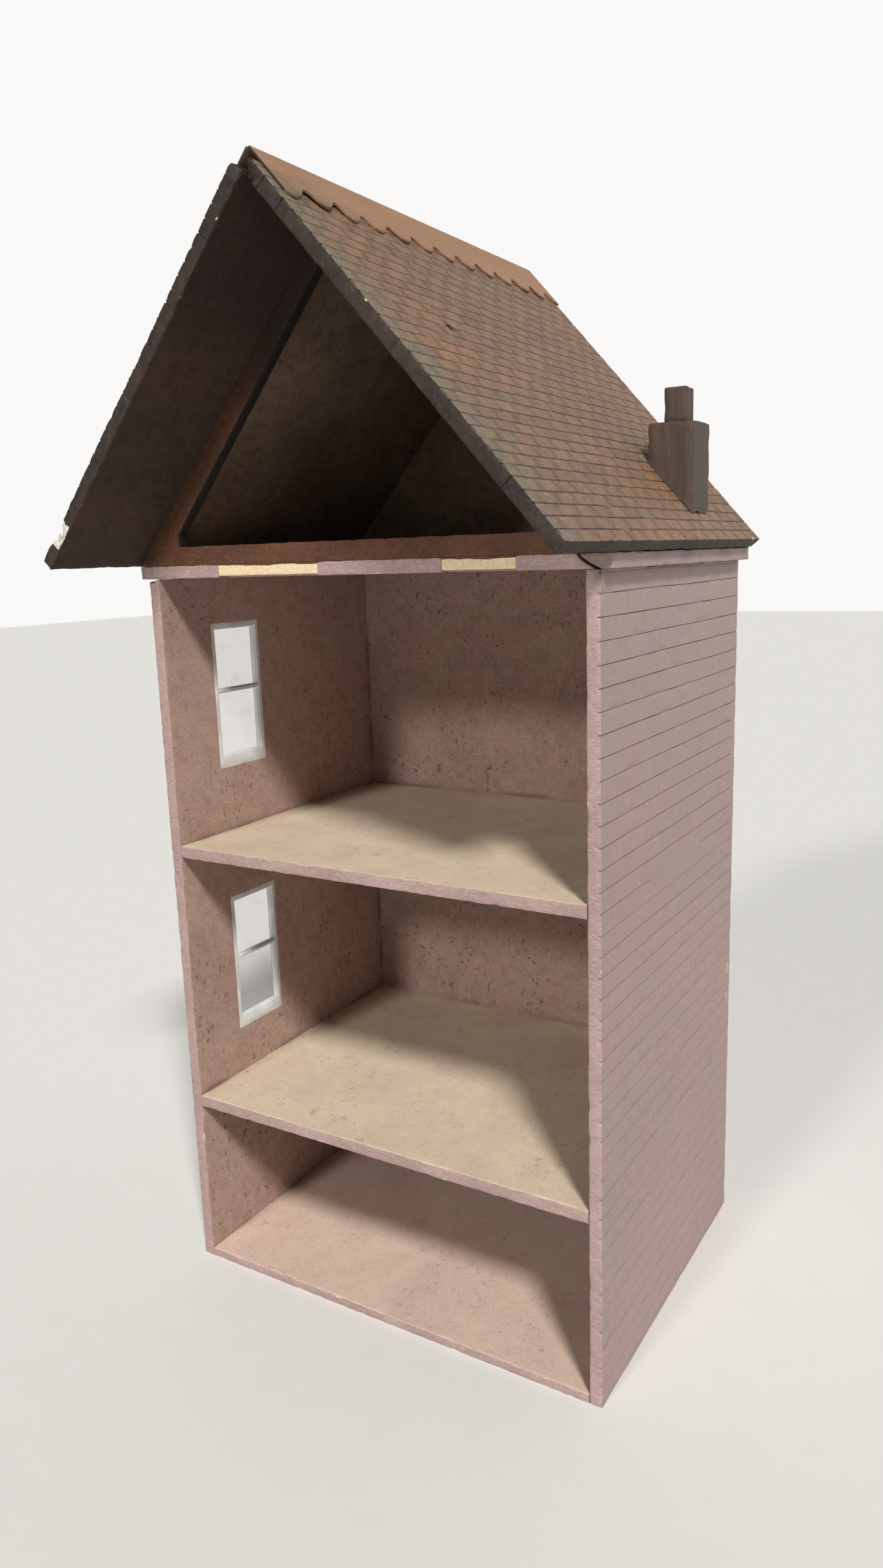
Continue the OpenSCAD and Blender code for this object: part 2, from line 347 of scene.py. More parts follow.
def room_paint(name, base, warm, dark, speck_share, fibre_share):
    """Sponged paint on the inside of a room: blotches, dark specks and short pale fibres."""
    s = Shader(name)
    blotch = s.band(s.noise(45, detail=6, roughness=0.65), 0.38, 0.66)
    color = s.mix(blotch, base, warm)
    shade = s.band(s.noise(16, detail=4), 0.45, 0.75)
    color = s.mix(s.math("MULTIPLY", shade, 0.45), color, dark)
    mottle = s.band(s.noise(150, detail=5, roughness=0.65), 0.42, 0.68)
    color = s.mix(s.math("MULTIPLY", mottle, 0.4 * speck_share), color, tuple(c * 0.66 for c in dark))
    violet = s.band(s.noise(9, detail=3), 0.52, 0.8)
    color = s.mix(s.math("MULTIPLY", violet, 0.5 * speck_share), color, srgb(150, 124, 128))
    grain = s.noise(1250, detail=4, roughness=0.7)
    color = s.mix(s.math("MULTIPLY", s.band(grain, 0.5, 0.64), 0.2), color, tuple(c * 0.55 for c in dark))
    color = s.mix(s.math("MULTIPLY", s.band(grain, 0.5, 0.38), 0.14), color, srgb(246, 236, 218))
    clusters = s.band(s.noise(40, detail=3), 0.42, 0.62)
    specks = s.math("MULTIPLY", s.band(s.noise(330, detail=2, roughness=0.6), 0.60, 0.68), clusters)
    color = s.mix(s.math("MULTIPLY", specks, 0.8 * speck_share), color, srgb(78, 54, 44))
    fibre = s.band(s.noise(700, detail=5, stretch=(2.2, 1, 1), distortion=0.8), 0.60, 0.72)
    color = s.mix(s.math("MULTIPLY", fibre, fibre_share), color, srgb(236, 224, 202))
    # Darker in the rooms' inner corners: painted shade.
    color = s.mix(s.math("MULTIPLY", s.value("dirt_and_shade"), 0.7), color, tuple(c * 0.25 for c in dark))
    s.put("Base Color", bare_where_worn(s, color, 0.8))
    s.put("Roughness", s.math("ADD", s.math("MULTIPLY", s.noise(70), 0.2), 0.7))
    s.bump((s.noise(180, detail=3), 0.2, 0.25), (s.noise(1300, detail=5), 0.4, 0.1))
    return s.material


def gable_paint():
    """Reddish brown paint on the gables, worn paler and darker towards the apex as painted shade under the roof's
    overhang. Below the deck the tabs stay bare.
    """
    s = Shader("gable_paint")
    blotch = s.band(s.noise(35, detail=5), 0.35, 0.7)
    color = s.mix(blotch, srgb(72, 42, 25), srgb(94, 56, 32))
    fibre = s.band(s.noise(800, detail=5, stretch=(1.6, 1, 1)), 0.5, 0.7)
    color = s.mix(s.math("MULTIPLY", fibre, 0.4), color, srgb(128, 80, 50))
    specks = s.band(s.noise(420, detail=3), 0.62, 0.70)
    color = s.mix(s.math("MULTIPLY", specks, 0.6), color, srgb(50, 32, 26))
    lap = s.math("MULTIPLY", s.noise(55, detail=3, stretch=(1, 1, 1000)), 2.4)
    # Painted shade: darker towards the apex, under the roof's overhang.
    overhang_shade = s.band(s.math("ADD", s.height(2), s.math("MULTIPLY", s.noise(30, detail=3), 40)), deck_z + 60, deck_z + 125)
    color = s.mix(s.math("MULTIPLY", overhang_shade, 0.8), color, srgb(38, 27, 22))
    above = s.band(s.math("ADD", s.height(2), lap), deck_z + 0.35, deck_z + 0.5)
    color = s.mix(above, raw_fibre(s), color)
    s.put("Base Color", color)
    s.put("Roughness", s.math("ADD", s.math("MULTIPLY", s.noise(200), 0.2), 0.62))
    s.bump((s.noise(250, detail=4), 0.3, 0.25), (s.noise(1600, detail=5), 0.5, 0.12))
    return s.material


def stained_board(name, light, dark, streak, rough=1.0):
    """Thin dark stain over fibreboard, with brush streaks along one axis and pale torn fibres."""
    s = Shader(name)
    blotch = s.band(s.noise(26, detail=5, stretch=streak), 0.3, 0.7)
    color = s.mix(blotch, dark, light)
    mottle = s.band(s.noise(190, detail=5, roughness=0.7), 0.42, 0.66)
    color = s.mix(s.math("MULTIPLY", mottle, 0.45 * rough), color, tuple(c * 0.4 for c in dark))
    fine = s.band(s.noise(600, detail=6), 0.50, 0.75)
    color = s.mix(s.math("MULTIPLY", fine, 0.3 * rough), color, tuple(c * 1.9 for c in light))
    s.put("Base Color", bare_where_worn(s, color, 1.0, srgb(228, 226, 219), srgb(184, 174, 160)))
    s.put("Roughness", s.math("ADD", s.math("MULTIPLY", s.noise(120), 0.2), 0.6))
    s.bump((s.noise(170, detail=5, stretch=streak), 0.35 * rough, 0.5), (s.noise(1400, detail=5), 0.5, 0.12))
    return s.material


def tile_paint():
    """Mottled tile colours: brown, with tiles of grey-brown and orange, and a greener front column."""
    s = Shader("tile_paint")
    tint = s.value("tint")
    color = s.mix(tint, srgb(114, 90, 72), srgb(130, 100, 78))
    patch = s.band(s.noise(11, detail=5, stretch=(1, 1.6, 1), roughness=0.6), 0.44, 0.7)
    rust = s.math("MULTIPLY", patch, s.math("ADD", s.math("MULTIPLY", tint, 0.25), 0.75))
    color = s.mix(s.math("MULTIPLY", rust, 0.6), color, srgb(156, 108, 76))
    grey = s.math("MULTIPLY", s.value("weathered"), s.math("ADD", s.math("MULTIPLY", s.noise(120), 0.6), 0.5))
    color = s.mix(grey, color, srgb(112, 106, 92))
    fine = s.band(s.noise(500, detail=6, roughness=0.7), 0.42, 0.72)
    color = s.mix(s.math("MULTIPLY", fine, 0.4), color, srgb(172, 144, 118))
    dark = s.band(s.noise(260, detail=5, roughness=0.65), 0.46, 0.68)
    color = s.mix(s.math("MULTIPLY", dark, 0.45), color, srgb(80, 64, 54))
    color = s.mix(s.math("MULTIPLY", s.value("dirt_and_shade"), 0.92), color, srgb(38, 29, 25))
    s.put("Base Color", bare_where_worn(s, color))
    s.put("Roughness", s.math("ADD", s.math("MULTIPLY", s.noise(220), 0.25), 0.5))
    s.bump((s.noise(240, detail=3), 0.3, 0.25), (s.noise(1500, detail=4), 0.4, 0.08))
    return s.material


def ridge_paint():
    """Orange-tan paint on the ridge strips, olive towards the front's lower edge."""
    s = Shader("ridge_paint")
    blotch = s.band(s.noise(28, detail=4, stretch=(1, 2.5, 1)), 0.35, 0.68)
    color = s.mix(blotch, srgb(146, 112, 84), srgb(154, 118, 94))
    color = s.mix(s.math("MULTIPLY", s.band(s.noise(60, detail=3), 0.55, 0.75), 0.5), color, srgb(140, 114, 80))
    color = s.mix(s.value("weathered"), color, srgb(112, 97, 76))
    fine = s.band(s.noise(700, detail=5), 0.45, 0.75)
    color = s.mix(s.math("MULTIPLY", fine, 0.25), color, srgb(182, 142, 114))
    # Darker along the strip's lower edge: painted shade.
    color = s.mix(s.math("MULTIPLY", s.value("dirt_and_shade"), 0.7), color, srgb(60, 44, 34))
    s.put("Base Color", bare_where_worn(s, color, 0.5))
    s.put("Roughness", s.math("ADD", s.math("MULTIPLY", s.noise(150), 0.2), 0.55))
    s.bump((s.noise(150, detail=3), 0.25, 0.25), (s.noise(1500, detail=4), 0.35, 0.06))
    return s.material


def chimney_wood():
    """Dark stained softwood with upright grain."""
    s = Shader("chimney_wood")
    grain = s.noise(420, detail=6, stretch=(1, 1, 14), distortion=0.5)
    color = s.mix(s.band(grain, 0.35, 0.68), srgb(68, 53, 44), srgb(82, 65, 54))
    lines = s.band(s.noise(900, detail=4, stretch=(1, 1, 30)), 0.62, 0.72)
    color = s.mix(s.math("MULTIPLY", lines, 0.3), color, srgb(120, 102, 86))
    mottle = s.band(s.noise(120, detail=5, roughness=0.65), 0.44, 0.68)
    color = s.mix(s.math("MULTIPLY", mottle, 0.5), color, srgb(56, 44, 38))
    pores = s.band(s.noise(1100, detail=3, stretch=(1, 1, 10)), 0.40, 0.30)
    color = s.mix(s.math("MULTIPLY", pores, 0.35), color, srgb(46, 35, 30))
    s.put("Base Color", bare_where_worn(s, color, 0.5))
    s.put("Roughness", s.math("ADD", s.math("MULTIPLY", grain, 0.2), 0.52))
    s.bump((grain, 0.4, 0.3), (s.noise(1400, detail=4, stretch=(1, 1, 6)), 0.35, 0.1))
    return s.material


def window_paint():
    """Off-white satin paint with faint brush marks, darker along the frames' outer rims."""
    s = Shader("window_paint")
    color = s.mix(s.band(s.noise(120, detail=4), 0.35, 0.7), srgb(220, 223, 224), srgb(234, 238, 240))
    color = s.mix(s.math("MULTIPLY", s.value("dirt_and_shade"), 0.5), color, srgb(150, 138, 126))
    s.put("Base Color", color)
    s.put("Roughness", s.math("ADD", s.math("MULTIPLY", s.noise(200), 0.15), 0.38))
    s.bump((s.noise(500, detail=3, stretch=(1, 1, 5)), 0.25, 0.08), (s.noise(1800, detail=2), 0.2, 0.04))
    return s.material


def clear_sheet():
    """Clear plastic with a few smudges."""
    s = Shader("clear_sheet")
    smudge = s.band(s.noise(70, detail=5, distortion=0.6), 0.52, 0.75)
    s.put("Base Color", s.mix(smudge, (0.93, 0.96, 0.97), (0.85, 0.87, 0.88)))
    s.put("Alpha", s.math("ADD", s.math("MULTIPLY", smudge, 0.06), 0.08))
    s.put("Roughness", s.math("ADD", s.math("MULTIPLY", smudge, 0.2), 0.05))
    s.bump((s.noise(25, detail=2), 0.2, 0.3))
    return s.material


# ---------------------------------------------------------------- mesh tools

def ripple(points, size, seed):
    """Smooth, irregular values around 0, mostly within 1, that change over a distance of about size."""
    waves = 9
    random = np.random.default_rng(seed)
    ways = random.normal(size=(waves, 3))
    ways /= np.linalg.norm(ways, axis=1)[:, None]
    lengths = size * random.uniform(0.6, 1.8, waves)
    phases = random.uniform(0, TURN, waves)
    return np.sin(points @ (ways / lengths[:, None]).T * TURN + phases).sum(1) / 3


def lines(low, high, step, keep=(), fine=()):
    """Grid lines from low to high, about step apart. keep are lines that must be there, and
    fine is a list of (from, to, step) stretches with closer lines."""
    wanted = {round(x, 4) for x in (low, high, *keep) if low - 1e-6 <= x <= high + 1e-6}
    for start, end, close in fine:
        start, end = max(low, start), min(high, end)
        if end > start:
            count = max(1, round((end - start) / close))
            wanted |= {round(start + (end - start) * i / count, 4) for i in range(count + 1)}
    fixed = sorted(wanted)
    clear = [fixed[0]]
    for x in fixed[1:]:
        if x - clear[-1] > 0.12 or x in {round(k, 4) for k in (*keep, high)}:
            clear.append(x)
    found = []
    for a, b in zip(clear, clear[1:]):
        count = max(1, round((b - a) / step))
        found += [a + (b - a) * i / count for i in range(count)]
    return found + [clear[-1]]


def block(xs, ys, zs, cuts=()):
    """A closed mesh of grid cells between those lines, without the cells inside the (low, high) cuts."""
    axes = [np.array(a, float) for a in (xs, ys, zs)]
    middles = np.meshgrid(*[(a[1:] + a[:-1]) / 2 for a in axes], indexing="ij")
    solid = np.ones(middles[0].shape, bool)
    for low, high in cuts:
        inside = np.ones(solid.shape, bool)
        for middle, a, b in zip(middles, low, high):
            inside &= (middle > a) & (middle < b)
        solid &= ~inside
    padded = np.pad(solid, 1)
    shape = [len(a) for a in axes]
    used, faces = {}, []

    def corner(*index):
        return used.setdefault(index, len(used))

    for axis in range(3):
        turned = np.moveaxis(padded, axis, 0)
        change = turned[1:].astype(int) - turned[:-1]
        for n, u, v in zip(*(k.tolist() for k in np.nonzero(change))):
            ring = [(n, u - 1, v - 1), (n, u, v - 1), (n, u, v), (n, u - 1, v)]
            if (change[n, u, v] > 0) != (axis == 1):
                ring.reverse()
            if axis == 1:
                ring = [(b, a, c) for a, b, c in ring]
            elif axis == 2:
                ring = [(b, c, a) for a, b, c in ring]
            faces.append([corner(*index) for index in ring])
    index = np.array(list(used))
    points = np.stack([axes[k][index[:, k]] for k in range(3)], 1)
    assert max(index.max(0) - np.array(shape)) < 0
    bm = bmesh.new()
    corners = [bm.verts.new(p) for p in points]
    for face in faces:
        bm.faces.new([corners[i] for i in face])
    bm.normal_update()
    return bm


def soften(bm, width, wanted=None, sharp=0.6):
    """Rounds the edges where faces meet at an angle, or those that wanted() picks by their middle."""
    edges = []
    for edge in bm.edges:
        if len(edge.link_faces) == 2 and edge.calc_face_angle() > sharp:
            middle = (edge.verts[0].co + edge.verts[1].co) / 2
            if wanted is None or wanted(middle):
                edges.append(edge)
    bmesh.ops.bevel(bm, geom=edges, offset=width, offset_type="OFFSET", segments=2, profile=0.5,
                    affect="EDGES", clamp_overlap=False)
    bm.normal_update()


def on_outline(low, high):
    """Picks the edges along the outline of a box: their middles lie on two or more of its faces."""
    def wanted(middle):
        return sum(min(abs(middle[k] - low[k]), abs(middle[k] - high[k])) < 0.01 for k in range(3)) >= 2
    return wanted


def points_of(bm):
    return np.array([v.co for v in bm.verts])


def place(bm, points):
    for vertex, point in zip(bm.verts, points):
        vertex.co = point
    bm.normal_update()


def chamfered(bm, reach=1):
    """1 on the points of rounded edges, 0 elsewhere: those with a face that looks along no axis."""
    found = np.zeros(len(bm.verts))
    for face in bm.faces:
        if max(abs(c) for c in face.normal) < 0.985:
            for vertex in face.verts:
                found[vertex.index] = 1
    return found


def worn(points, low, high, amount, seed, size=6):
    """Wears the outline edges of a box back by up to amount, unevenly."""
    low, high = np.array(low), np.array(high)
    near_low = points - low < 0.6
    near_high = high - points < 0.6
    edge = (near_low | near_high).sum(1) >= 2
    depth = amount * np.clip(0.35 + 0.65 * ripple(points, size, seed), 0, 1.4)
    chips = amount * 2.2 * np.clip(ripple(points, size / 2.5, seed + 50) - 0.9, 0, 1)
    depth = np.where(edge, depth + chips, 0)[:, None]
    return points + np.where(near_low, depth, 0) - np.where(near_high, depth, 0)


def piece(name, bm, materials, body, node, values=None, paint=None, sharp=35):
    """Turns a mesh in millimetres into a piece that rides on a body and stands for a CAD node.
    values are numbers for its points, and paint(normal, middle) picks a face's material."""
    bmesh.ops.recalc_face_normals(bm, faces=bm.faces)
    bm.normal_update()
    if paint:
        for face in bm.faces:
            face.material_index = paint(face.normal, face.calc_center_median())
    mesh = bpy.data.meshes.new(name)
    bm.to_mesh(mesh)
    bm.free()
    for key in ("dirt_and_shade", "bare", "tint", "weathered"):
        numbers = (values or {}).get(key)
        if numbers is None:
            numbers = np.zeros(len(mesh.vertices))
        mesh.attributes.new(key, "FLOAT", "POINT").data.foreach_set("value", np.clip(numbers, 0, 1).astype(np.float32))
    mesh.transform(Matrix.Scale(MM, 4))
    mesh.shade_smooth()
    mesh.set_sharp_from_angle(angle=math.radians(sharp))
    for material in materials:
        mesh.materials.append(material)
    thing = bpy.data.objects.new(name, mesh)
    bpy.context.scene.collection.objects.link(thing)
    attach(thing, body)
    if node:
        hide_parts(node)
    return thing


# ---------------------------------------------------------------- carcass

def score_rows():
    """Heights of the siding's score lines, from the top down, and one just under the top edge."""
    count = math.floor((wall_top - SIDING_LINE) / SIDING_PITCH)
    return [wall_top - 1.2] + [wall_top - row * SIDING_PITCH for row in range(1, count + 1)]


def score_lines():
    """Grid lines for the score lines: the two lips and the middle of each."""
    half = SIDING_LINE / 2
    return [z + d for z in score_rows() for d in (-half, 0, half)]


def scored(points, axis, face, along, seed):
    """Cuts the score lines into the face at that place along an axis, uneven in depth and height."""
    rows = np.array(score_rows())
    nearest = np.abs(points[:, 2:3] - rows[None]).argmin(1)
    centre = np.abs(points[:, 2] - rows[nearest]) < 0.02
    close = np.abs(points[:, 2] - rows[nearest]) < SIDING_LINE / 2 + 0.02
    at_face = np.abs(points[:, axis] - face) < 0.45
    depth = SIDING_CUT * (0.8 + 0.3 * ripple(points * [1, 1, 3], 22, seed))
    depth[nearest == 0] *= 0.55
    sign = 1 if face > 0 else -1
    result = points.copy()
    cut = centre & at_face
    result[:, axis] -= np.where(cut, sign * np.clip(depth, 0.12, 0.7), 0)
    drift = 0.12 * ripple(points * [1, 1, 7], 60, seed + 3)
    result[:, 2] += np.where(close & at_face, drift, 0)
    ends = cut & ((points[:, along] < points[:, along].min() + 0.5) | (points[:, along] > points[:, along].max() - 0.5))
    inward = np.where(points[:, along] < points[:, along].mean(), 1, -1)
    result[:, along] += np.where(ends, 0.35 * inward, 0)
    return result, np.where(cut, 1.0, 0.0)


SLOTS = [(z, z + board) for z in (span("lower_shelf")[0][2], span("upper_shelf")[0][2])]


def wall_cuts(side):
    """Slots of a side wall for the shelf tenons and the back wall's tabs."""
    wide = (-outer_x - 1, -room_x + 1) if side < 0 else (room_x - 1, outer_x + 1)
    cuts = [((wide[0], TENON_Y[0] - TAB_GAP, low), (wide[1], TENON_Y[1] + TAB_GAP, high)) for low, high in SLOTS]
    cuts += [((wide[0], room_back_y, low - TAB_GAP), (wide[1], back_y + 1, high + TAB_GAP)) for low, high in TAB_Z]
    return cuts


def window_boxes():
    """The windows' openings in the left wall, as low and high corners."""
    found = []
    for name in ("middle_window_frame", "upper_window_frame"):
        low, high = span(name)
        found.append(((-outer_x - 1, low[1], low[2]), (-room_x + 1, high[1], high[2])))
    return found


def cut_lines(cuts, axis):
    return [corner[axis] for cut in cuts for corner in cut]


def side_wall(side, paints):
    """A side wall: scored and painted outside, sponged inside, with worn front and rear edges."""
    name = "left_wall" if side < 0 else "right_wall"
    seed = 11 if side < 0 else 12
    low, high = span(name)
    low[2], high[2] = 0, wall_top
    cuts = wall_cuts(side) + (window_boxes() if side < 0 else [])
    ys = lines(low[1], high[1], 5, cut_lines(cuts, 1), [(low[1], low[1] + 2.4, 1.2), (high[1] - 1.2, high[1], 1.2)])
    zs = lines(low[2], high[2], 3, score_lines() + cut_lines(cuts, 2), [(low[2], low[2] + 1, 1)])
    xs = lines(low[0], high[0], 1.5)
    bm = block(xs, ys, zs, cuts)
    soften(bm, 0.35, on_outline(low, high))
    points = points_of(bm)
    edges = chamfered(bm)
    outer = high[0] if side > 0 else low[0]
    in_corner = [(gap > 0.03) & (gap < 0.3) for gap in (outer_x - points[:, 0], points[:, 1] - front_y)]
    split = in_corner[0] & in_corner[1] & (points[:, 2] > wall_top - 3.5)
    points = worn(points, low, high, 0.16, seed)
    points, dirt_and_shade = scored(points, 0, outer, 1, seed)
    if side < 0:
        lowered = (np.abs(points[:, 0]) - room_x) / board * 1.5
        points[:, 2] -= np.where(points[:, 2] > wall_top - 0.9, np.clip(lowered, 0, 1.5), 0)
    else:
        points[:, :2] += np.where(split, 1, 0)[:, None] * [-0.25, 0.25]
        # The split corner is darkened: painted shade in the crack.
        dirt_and_shade = np.maximum(dirt_and_shade, split)
    place(bm, points)
    bare = edges * np.clip(ripple(points, 9, seed + 7) - 1.05, 0, 1)
    # Painted shade in the rooms' inner corners.
    dirt_and_shade = np.maximum(dirt_and_shade, room_corner_shade(points))
    siding, sponge, edge = paints["siding"], paints["room_wall"], paints["edge"]

    def paint(normal, middle):
        if normal[0] * side < -0.7:
            return 1
        return 2 if normal[1] < -0.4 else 0

    piece(name + "_board", bm, [siding, sponge, edge], "carcass", name,
          {"dirt_and_shade": dirt_and_shade, "bare": bare}, paint)


def room_corner_shade(points):
    """Painted shade in the inner corners of the rooms, on the wall and shelf faces that look into them."""
    x_gap = room_x - np.abs(points[:, 0])
    y_gap = room_back_y - points[:, 1]
    near_side = np.exp(-np.clip(x_gap, 0, 99) / 1.2) * (points[:, 1] > front_y + 3)
    near_back = np.exp(-np.clip(y_gap, 0, 99) / 1.2)
    on_wall = np.abs(x_gap) < 0.3
    on_back = np.abs(y_gap) < 0.3
    levels = [SLOTS[0][1], SLOTS[1][1]]
    near_floor = sum(np.exp(-np.clip(points[:, 2] - level, 0, 99) / 1.0) * (points[:, 2] > level - 0.3)
                     for level in levels)
    patchy = np.clip(0.55 + 0.6 * ripple(points, 25, 91), 0, 1)
    on_board = np.maximum(near_floor * (on_wall | on_back), np.where(on_wall, near_back, 0))
    flat = (~on_wall) & (~on_back)
    inside = (x_gap > -0.3) & (y_gap > -0.3)
    return patchy * np.where(flat, np.maximum(near_side, near_back), on_board) * inside * 0.8


def back_wall(paints):
    low, high = span("back_wall")
    tab_edges = [z + d for tab in TAB_Z for z, d in zip(tab, (0, 0))]
    cuts = []
    for side in (-1, 1):
        wide = sorted((side * room_x, side * (outer_x + 1)))
        for bottom, top in zip([-1] + [t[1] for t in TAB_Z], [t[0] for t in TAB_Z] + [wall_top + 1]):
            cuts.append(((wide[0], low[1] - 1, bottom), (wide[1], high[1] + 1, top)))
    xs = lines(low[0], high[0], 6, [-room_x, room_x], [(-room_x, -room_x + 3, 1.5), (room_x - 3, room_x, 1.5)])
    zs = lines(low[2], high[2], 3, score_lines() + tab_edges)
    ys = lines(low[1], high[1], 3)
    bm = block(xs, ys, zs, cuts)
    soften(bm, 0.3, on_outline(low, high))
    points = points_of(bm)
    edges = chamfered(bm)
    points = worn(points, low, high, 0.12, 21)
    points, dirt_and_shade = scored(points, 1, high[1], 0, 22)
    place(bm, points)
    bare = edges * np.clip(ripple(points, 9, 23) - 0.4, 0, 1)
    # Painted shade in the rooms' inner corners.
    dirt_and_shade = np.maximum(dirt_and_shade, room_corner_shade(points))
    piece("back_wall_board", bm, [paints["siding"], paints["room_wall"], paints["edge"]], "carcass", "back_wall",
          {"dirt_and_shade": dirt_and_shade, "bare": bare},
          lambda normal, middle: 1 if normal[1] < -0.7 else 0)


def storey_board(name, top_paint, paints, seed):
    """A shelf with its tenons, or the bottom board: soft cream top, mauve front edge and underside."""
    low, high = span(name)
    tenons = high[0] > room_x + 1
    main = room_x - END_GAP
    cuts = []
    if tenons:
        for side in (-1, 1):
            wide = sorted((side * main, side * (outer_x + 1)))
            for start, end in ((low[1] - 1, TENON_Y[0]), (TENON_Y[1], high[1] + 1)):
                cuts.append(((wide[0], start, low[2] - 1), (wide[1], end, high[2] + 1)))
    xs = lines(low[0], high[0], 3, [-main, main])
    ys = lines(low[1], high[1], 3.5, list(TENON_Y), [(low[1], low[1] + 2, 1)])
    zs = lines(low[2], high[2], 1.5)
    bm = block(xs, ys, zs, cuts)
    soften(bm, 0.35, lambda m: m[1] < low[1] + 0.01 and abs(m[0]) < main - 0.01)
    points = points_of(bm)
    edges = chamfered(bm)
    points = worn(points, (-999, low[1], low[2]), (999, high[1], high[2]), 0.18, seed, size=5)
    place(bm, points)
    lower = points[:, 2] < low[2] + 0.6
    bare = edges * np.clip(ripple(points, 5, seed + 1) - np.where(lower, 0.75, 1.0), 0, 1)
    # Painted shade in the rooms' inner corners, on the shelf's top.
    dirt_and_shade = room_corner_shade(points) * (points[:, 2] > high[2] - 0.3)
    top, edge, under = top_paint, paints["edge"], paints["siding"]

    def paint(normal, middle):
        if normal[2] > 0.7:
            return 0
        return 1 if normal[1] < -0.4 else 2

    piece(name + "_board", bm, [top, edge, under], "carcass", name,
          {"dirt_and_shade": dirt_and_shade, "bare": bare}, paint)


def window(which, paints):
    """A sash window: stiles and rails with a moulded inner edge, and its sheet of glazing."""
    stile, top_rail, bottom_rail, meeting, lower_pane = 3.1, 3.4, 7, 2.5, 32.5
    moulding, moulding_deep = 0.55, 0.9
    low, high = span(which + "_window_frame")
    panes = [(low[2] + bottom_rail, low[2] + bottom_rail + lower_pane),
             (low[2] + bottom_rail + lower_pane + meeting, high[2] - top_rail)]
    cuts = []
    for bottom, top in panes:
        cuts.append(((low[0] - 1, low[1] + stile, bottom), (high[0] + 1, high[1] - stile, top)))
        cuts.append(((high[0] - moulding_deep, low[1] + stile - moulding, bottom - moulding),
                     (high[0] + 1, high[1] - stile + moulding, top + moulding)))
    xs = lines(low[0], high[0], 1.2, [high[0] - moulding_deep])
    ys = lines(low[1], high[1], 3, cut_lines(cuts, 1))
    zs = lines(low[2], high[2], 3, cut_lines(cuts, 2))
    bm = block(xs, ys, zs, cuts)
    soften(bm, 0.18)
    points = points_of(bm)
    points = worn(points, low, high, 0.08, 31)
    points[:, 1] += 0.10 * ripple(points, 30, 33) * (np.abs(points[:, 1] - (low[1] + high[1]) / 2) < 16)
    place(bm, points)
    rim = np.minimum(np.minimum(points[:, 1] - low[1], high[1] - points[:, 1]),
                     np.minimum(points[:, 2] - low[2], high[2] - points[:, 2]))
    dirt_and_shade = np.exp(-np.clip(rim, 0, 9) / 0.5) * np.clip(0.4 + ripple(points, 14, 35), 0, 1)
    piece(which + "_window_sashes", bm, [paints["window"]], "carcass", which + "_window_frame",
          {"dirt_and_shade": dirt_and_shade}, sharp=30)
    low, high = span(which + "_window_glazing")
    bm = block(lines(low[0], high[0], 2), lines(low[1], high[1], 3), lines(low[2], high[2], 4))
    soften(bm, 0.08)
    points = points_of(bm)
    points[:, 0] += 0.03 * ripple(points, 25, 37)
    place(bm, points)
    piece(which + "_window_pane", bm, [paints["clear"]], "carcass", which + "_window_glazing")


# ---------------------------------------------------------------- roof

def on_slope(points, side):
    """Slope points (s, y, h) as frame points, on the right slope (side 1) or the left (-1)."""
    s, y, h = points.T
    x = s * math.cos(PITCH) + h * math.sin(PITCH)
    z = apex_z - s * math.sin(PITCH) + h * math.cos(PITCH)
    return np.stack([side * x, y, z], 1)


